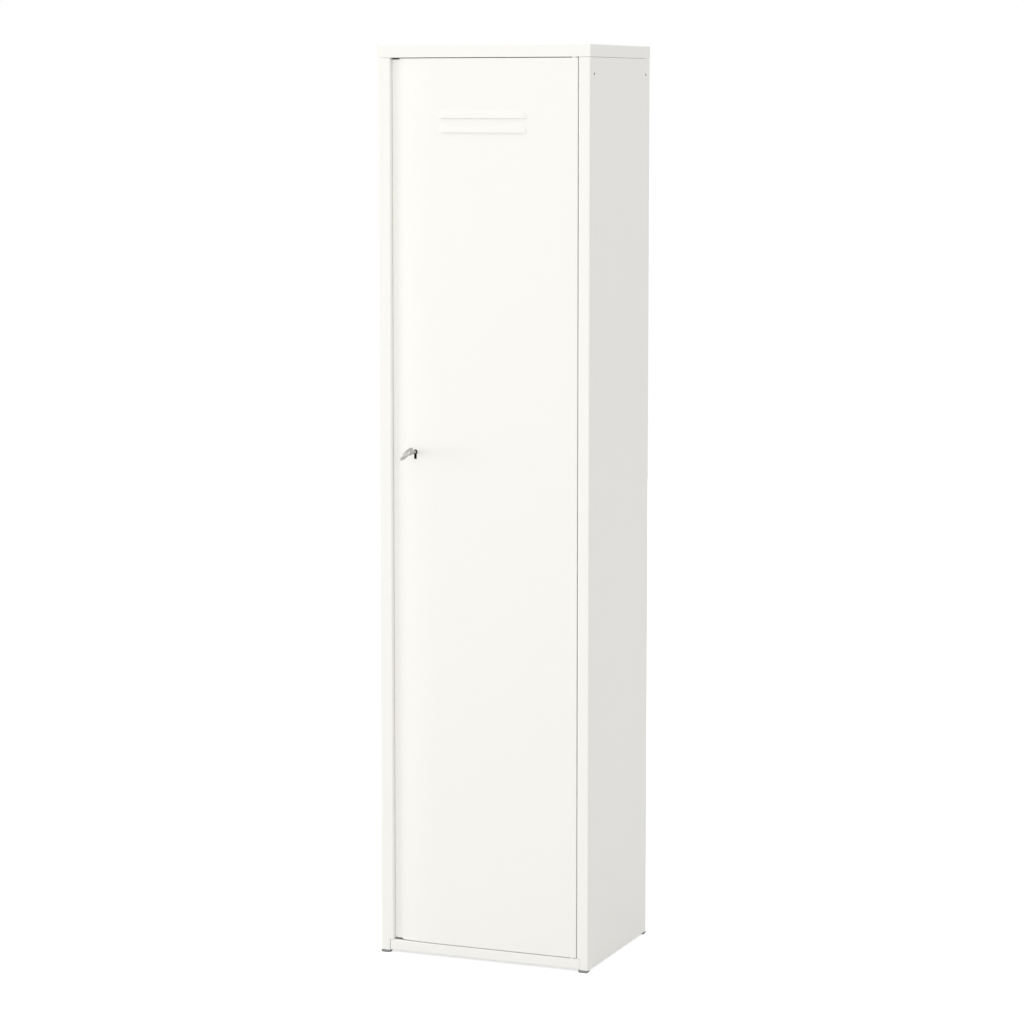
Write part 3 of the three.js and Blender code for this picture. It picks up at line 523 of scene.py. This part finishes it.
# %% Floor and world
FLOOR_SIZE = 14.0
FLOOR_COLOUR = "#C4C4C4"
FLOOR_ROUGHNESS = 0.9
FLOOR_LIFT = 0.75
AMBIENT = 0.86


def seen_directly(tree):
    # 1 for the rays of the camera and for those that metal or glass sends on, 0 for light on the object
    path = add_node(tree, "ShaderNodeLightPath")
    total = path.outputs["Is Camera Ray"]
    for name in ("Is Glossy Ray", "Is Transmission Ray"):
        either = add_node(tree, "ShaderNodeMath")
        either.operation = "MAXIMUM"
        tree.links.new(total, either.inputs[0])
        tree.links.new(path.outputs[name], either.inputs[1])
        total = either.outputs["Value"]
    return total


nothing_selected()
bpy.ops.mesh.primitive_plane_add(size=FLOOR_SIZE, location=(0, 0, 0))
floor = bpy.context.active_object
floor.name = "floor"
floor_paint, tree, surface = new_material("floor")
surface.inputs["Base Color"].default_value = linear(FLOOR_COLOUR)
surface.inputs["Roughness"].default_value = FLOOR_ROUGHNESS
lift = add_node(tree, "ShaderNodeMath", Value=seen_directly(tree))
lift.operation = "MULTIPLY"
lift.inputs[1].default_value = FLOOR_LIFT
surface.inputs["Emission Color"].default_value = (1, 1, 1, 1)
tree.links.new(lift.outputs["Value"], surface.inputs["Emission Strength"])
floor.data.materials.append(floor_paint)

world = bpy.data.worlds.new("studio")
bpy.context.scene.world = world
world.use_nodes = True
sky = world.node_tree
level = add_node(sky, "ShaderNodeMapRange", Value=seen_directly(sky), To_Min=AMBIENT, To_Max=1.0)
sky.links.new(level.outputs["Result"], sky.nodes["Background"].inputs["Strength"])
sky.nodes["Background"].inputs["Color"].default_value = (1, 1, 1, 1)
print("world level", AMBIENT)

# %% Lamps
LAMP_TARGET = (0, 0, 0.9)
LAMP_DISTANCE = 5.0
LAMP_HEIGHT = 1.0
FRONT_AZIMUTH = math.radians(-2)
FRONT_SIZE = 4.0
FRONT_POWER = 53
LEFT_AZIMUTH = math.radians(-71)
LEFT_SIZE = 2.4
LEFT_POWER = 66
TOP_PLACE = (0.2, -0.4, 4.6)
TOP_SIZE = 3.0
TOP_POWER = 14


def soft_lamp(name, place, size, power):
    lamp = bpy.data.lights.new(name, "AREA")
    lamp.shape = "DISK"
    lamp.size = size
    lamp.energy = power
    holder = bpy.data.objects.new(name, lamp)
    bpy.context.collection.objects.link(holder)
    holder.location = place
    aim = Vector(LAMP_TARGET) - Vector(place)
    holder.rotation_euler = aim.to_track_quat("-Z", "Y").to_euler()


def around(azimuth):
    return (LAMP_DISTANCE * math.sin(azimuth), -LAMP_DISTANCE * math.cos(azimuth), LAMP_HEIGHT)


soft_lamp("front_lamp", around(FRONT_AZIMUTH), FRONT_SIZE, FRONT_POWER)
soft_lamp("left_lamp", around(LEFT_AZIMUTH), LEFT_SIZE, LEFT_POWER)
soft_lamp("top_lamp", TOP_PLACE, TOP_SIZE, TOP_POWER)

# %% [markdown]
# # Camera
# The camera stands to the right of the front, just below the top of the locker, and looks down a little.
# It is far away with a long lens, so the upright edges stay nearly parallel. A slight shift of the lens
# centres the locker in the picture.

# %% Camera
CAMERA_PLACE = (2.188, -5.364, 1.534)
CAMERA_TILT = math.radians(83.65)
CAMERA_TURN = math.radians(22.15)
SENSOR_WIDTH = 36
LENS_LENGTH = 114.31
LENS_SHIFT = -0.05

camera_data = bpy.data.cameras.new("camera")
camera = bpy.data.objects.new("camera", camera_data)
bpy.context.collection.objects.link(camera)
camera.location = CAMERA_PLACE
camera.rotation_euler = (CAMERA_TILT, 0, CAMERA_TURN)
camera_data.sensor_width = SENSOR_WIDTH
camera_data.lens = LENS_LENGTH
camera_data.shift_y = LENS_SHIFT
bpy.context.scene.camera = camera
bpy.context.scene.view_settings.view_transform = "Standard"
print("camera at", CAMERA_PLACE)
